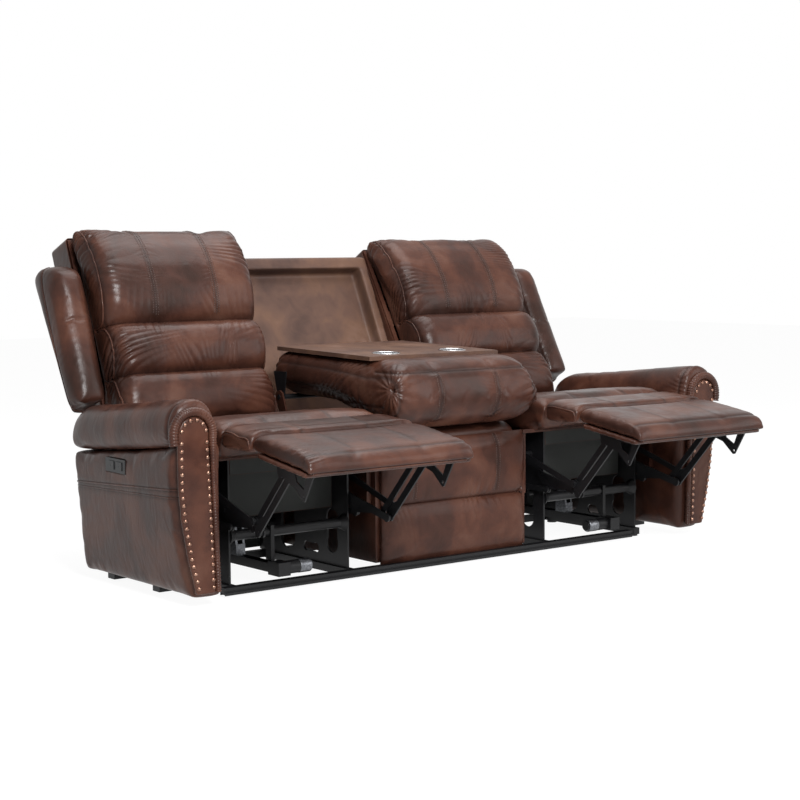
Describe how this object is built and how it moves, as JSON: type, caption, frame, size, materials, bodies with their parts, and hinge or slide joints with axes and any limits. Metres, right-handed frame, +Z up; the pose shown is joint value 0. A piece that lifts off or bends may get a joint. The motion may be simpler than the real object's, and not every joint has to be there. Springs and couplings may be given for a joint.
{
  "type": "power reclining sofa",
  "caption": "Power reclining sofa with rolled nailhead arms, reclining end seats with pantograph footrests and a centre back that folds down as a console with cup holders.",
  "frame": {"origin": "on the floor below the middle of the whole piece with both footrests out", "axes": "+X along the width towards the right-hand arm seen from the front, +Y to the back, +Z up"},
  "size_m": [2.1354, 1.4554, 1.0401],
  "materials": {
    "leather": "dark brown mottled faux leather, satin",
    "leather_light": "grey-brown faux leather where it is stretched flat, satin",
    "board_leather": "reddish-brown faux leather stretched over boards",
    "black_steel": "black powder coat, semi-gloss",
    "plated_steel": "bright zinc and stainless steel",
    "antique_copper": "antiqued copper plate",
    "black_plastic": "matt black"
  },
  "bodies": {
    "sofa_base": {"base_frame": "black_steel", "feet": "black_plastic", "rear_panel": "leather", "nailheads": "antique_copper", "left_arm_frame": "leather", "left_arm_roll": "leather", "left_arm_facing": "leather_light", "left_control_plate": "black_plastic", "right_arm_frame": "leather", "right_arm_roll": "leather", "right_arm_facing": "leather_light", "right_control_plate": "black_plastic", "left_seat_frame": "board_leather", "left_seat_cushion": "leather", "left_chaise_bridge": "leather", "left_mechanism_frame": "black_steel", "left_actuator": "black_steel", "right_seat_frame": "board_leather", "right_seat_cushion": "leather", "right_chaise_bridge": "leather", "right_mechanism_frame": "black_steel", "right_actuator": "black_steel", "centre_seat_frame": "board_leather", "centre_seat_cushion": "leather", "centre_front": "leather", "centre_back": "leather_light"},
    "left_recline_key": {"left_recline_key": "black_plastic"},
    "left_return_key": {"left_return_key": "black_plastic"},
    "right_recline_key": {"right_recline_key": "black_plastic"},
    "right_return_key": {"right_return_key": "black_plastic"},
    "left_rear_links": {"left_rear_links": "black_steel"},
    "left_front_links": {"left_front_links": "black_steel"},
    "left_guide_links": {"left_guide_links": "black_steel"},
    "left_control_links": {"left_control_links": "black_steel"},
    "left_footrest": {"left_footrest_board": "board_leather", "left_footrest_brackets": "black_steel", "left_footrest_pad": "leather"},
    "left_drive_crank": {"left_drive_crank": "black_steel"},
    "left_drive_links": {"left_drive_links": "black_steel"},
    "left_drive_nut": {"left_drive_nut": "plated_steel"},
    "left_back": {"left_back_shell": "leather", "left_back_cushion": "leather", "left_wing": "leather"},
    "right_rear_links": {"right_rear_links": "black_steel"},
    "right_front_links": {"right_front_links": "black_steel"},
    "right_guide_links": {"right_guide_links": "black_steel"},
    "right_control_links": {"right_control_links": "black_steel"},
    "right_footrest": {"right_footrest_board": "board_leather", "right_footrest_brackets": "black_steel", "right_footrest_pad": "leather"},
    "right_drive_crank": {"right_drive_crank": "black_steel"},
    "right_drive_links": {"right_drive_links": "black_steel"},
    "right_drive_nut": {"right_drive_nut": "plated_steel"},
    "right_back": {"right_back_shell": "leather", "right_back_cushion": "leather", "right_wing": "leather"},
    "console": {"console_cushion": "leather", "console_tray": "leather_light", "console_hinge": "black_steel", "cup_liners": "plated_steel"}
  },
  "joints": [
    {"name": "left_recline_key_press", "type": "slide", "parent": "sofa_base", "child": "left_recline_key", "axis": [0.9982, -0.0593, 0], "range_m": [0, 0.0012], "stiffness_N_per_m": 900, "springref_m": -0.0005},
    {"name": "left_return_key_press", "type": "slide", "parent": "sofa_base", "child": "left_return_key", "axis": [0.9982, -0.0593, 0], "range_m": [0, 0.0012], "stiffness_N_per_m": 900, "springref_m": -0.0005},
    {"name": "right_recline_key_press", "type": "slide", "parent": "sofa_base", "child": "right_recline_key", "axis": [-0.9982, -0.0593, 0], "range_m": [0, 0.0012], "stiffness_N_per_m": 900, "springref_m": -0.0005},
    {"name": "right_return_key_press", "type": "slide", "parent": "sofa_base", "child": "right_return_key", "axis": [-0.9982, -0.0593, 0], "range_m": [0, 0.0012], "stiffness_N_per_m": 900, "springref_m": -0.0005},
    {"name": "left_footrest_fold", "type": "hinge", "parent": "sofa_base", "child": "left_rear_links", "pos_m": [-0.602, -0.2092, 0.245], "axis": [1, 0, 0], "range_deg": [0, 80], "deforming": ["left_chaise_bridge"]},
    {"name": "left_front_link_turn", "type": "hinge", "parent": "left_rear_links", "child": "left_front_links", "pos_m": [-0.602, -0.4012, 0.2], "axis": [1, 0, 0], "range_deg": [-122.1, 0.1]},
    {"name": "left_guide_link_turn", "type": "hinge", "parent": "left_rear_links", "child": "left_guide_links", "pos_m": [-0.602, -0.3681, 0.20776], "axis": [1, 0, 0], "range_deg": [-122.1, 0.1]},
    {"name": "left_footrest_board_turn", "type": "hinge", "parent": "left_front_links", "child": "left_footrest", "pos_m": [-0.602, -0.5592, 0.372], "axis": [1, 0, 0], "range_deg": [-0.1, 122.1]},
    {"name": "left_control_link_turn", "type": "hinge", "parent": "sofa_base", "child": "left_control_links", "pos_m": [-0.602, -0.1598, 0.3068], "axis": [1, 0, 0], "range_deg": [-0.1, 70.2]},
    {"name": "left_crank_turn", "type": "hinge", "parent": "sofa_base", "child": "left_drive_crank", "pos_m": [-0.602, 0.0108, 0.245], "axis": [1, 0, 0], "range_deg": [-0.1, 80.1]},
    {"name": "left_drive_link_turn", "type": "hinge", "parent": "left_rear_links", "child": "left_drive_links", "pos_m": [-0.602, -0.24777, 0.19904], "axis": [1, 0, 0], "range_deg": [-80.1, 0.1]},
    {"name": "left_nut_slide", "type": "slide", "parent": "sofa_base", "child": "left_drive_nut", "axis": [0, 1, 0], "range_m": [-0.0001, 0.07723]},
    {"name": "left_back_recline", "type": "hinge", "parent": "sofa_base", "child": "left_back", "pos_m": [-0.602, 0.3008, 0.43], "axis": [-1, 0, 0], "range_deg": [0, 30]},
    {"name": "right_footrest_fold", "type": "hinge", "parent": "sofa_base", "child": "right_rear_links", "pos_m": [0.602, -0.2092, 0.245], "axis": [1, 0, 0], "range_deg": [0, 80], "deforming": ["right_chaise_bridge"]},
    {"name": "right_front_link_turn", "type": "hinge", "parent": "right_rear_links", "child": "right_front_links", "pos_m": [0.602, -0.4012, 0.2], "axis": [1, 0, 0], "range_deg": [-122.1, 0.1]},
    {"name": "right_guide_link_turn", "type": "hinge", "parent": "right_rear_links", "child": "right_guide_links", "pos_m": [0.602, -0.3681, 0.20776], "axis": [1, 0, 0], "range_deg": [-122.1, 0.1]},
    {"name": "right_footrest_board_turn", "type": "hinge", "parent": "right_front_links", "child": "right_footrest", "pos_m": [0.602, -0.5592, 0.372], "axis": [1, 0, 0], "range_deg": [-0.1, 122.1]},
    {"name": "right_control_link_turn", "type": "hinge", "parent": "sofa_base", "child": "right_control_links", "pos_m": [0.602, -0.1598, 0.3068], "axis": [1, 0, 0], "range_deg": [-0.1, 70.2]},
    {"name": "right_crank_turn", "type": "hinge", "parent": "sofa_base", "child": "right_drive_crank", "pos_m": [0.602, 0.0108, 0.245], "axis": [1, 0, 0], "range_deg": [-0.1, 80.1]},
    {"name": "right_drive_link_turn", "type": "hinge", "parent": "right_rear_links", "child": "right_drive_links", "pos_m": [0.602, -0.24777, 0.19904], "axis": [1, 0, 0], "range_deg": [-80.1, 0.1]},
    {"name": "right_nut_slide", "type": "slide", "parent": "sofa_base", "child": "right_drive_nut", "axis": [0, 1, 0], "range_m": [-0.0001, 0.07723]},
    {"name": "right_back_recline", "type": "hinge", "parent": "sofa_base", "child": "right_back", "pos_m": [0.602, 0.3008, 0.43], "axis": [-1, 0, 0], "range_deg": [-8, 22]},
    {"name": "console_lift", "type": "hinge", "parent": "sofa_base", "child": "console", "pos_m": [0, 0.2808, 0.503], "axis": [-1, 0, 0], "range_deg": [0, 112]}
  ],
  "couplings": [
    {"joint": "left_front_link_turn", "follows": "left_footrest_fold", "ratio": -1.525},
    {"joint": "left_guide_link_turn", "follows": "left_footrest_fold", "ratio": -1.525},
    {"joint": "left_footrest_board_turn", "follows": "left_footrest_fold", "ratio": 1.525},
    {"joint": "left_control_link_turn", "follows": "left_footrest_fold", "ratio": 0.87625},
    {"joint": "left_crank_turn", "follows": "left_footrest_fold", "ratio": 1},
    {"joint": "left_drive_link_turn", "follows": "left_footrest_fold", "ratio": -1},
    {"joint": "left_nut_slide", "follows": "left_footrest_fold", "m_per_rad": 0.055244},
    {"joint": "right_front_link_turn", "follows": "right_footrest_fold", "ratio": -1.525},
    {"joint": "right_guide_link_turn", "follows": "right_footrest_fold", "ratio": -1.525},
    {"joint": "right_footrest_board_turn", "follows": "right_footrest_fold", "ratio": 1.525},
    {"joint": "right_control_link_turn", "follows": "right_footrest_fold", "ratio": 0.87625},
    {"joint": "right_crank_turn", "follows": "right_footrest_fold", "ratio": 1},
    {"joint": "right_drive_link_turn", "follows": "right_footrest_fold", "ratio": -1},
    {"joint": "right_nut_slide", "follows": "right_footrest_fold", "m_per_rad": 0.055244}
  ]
}
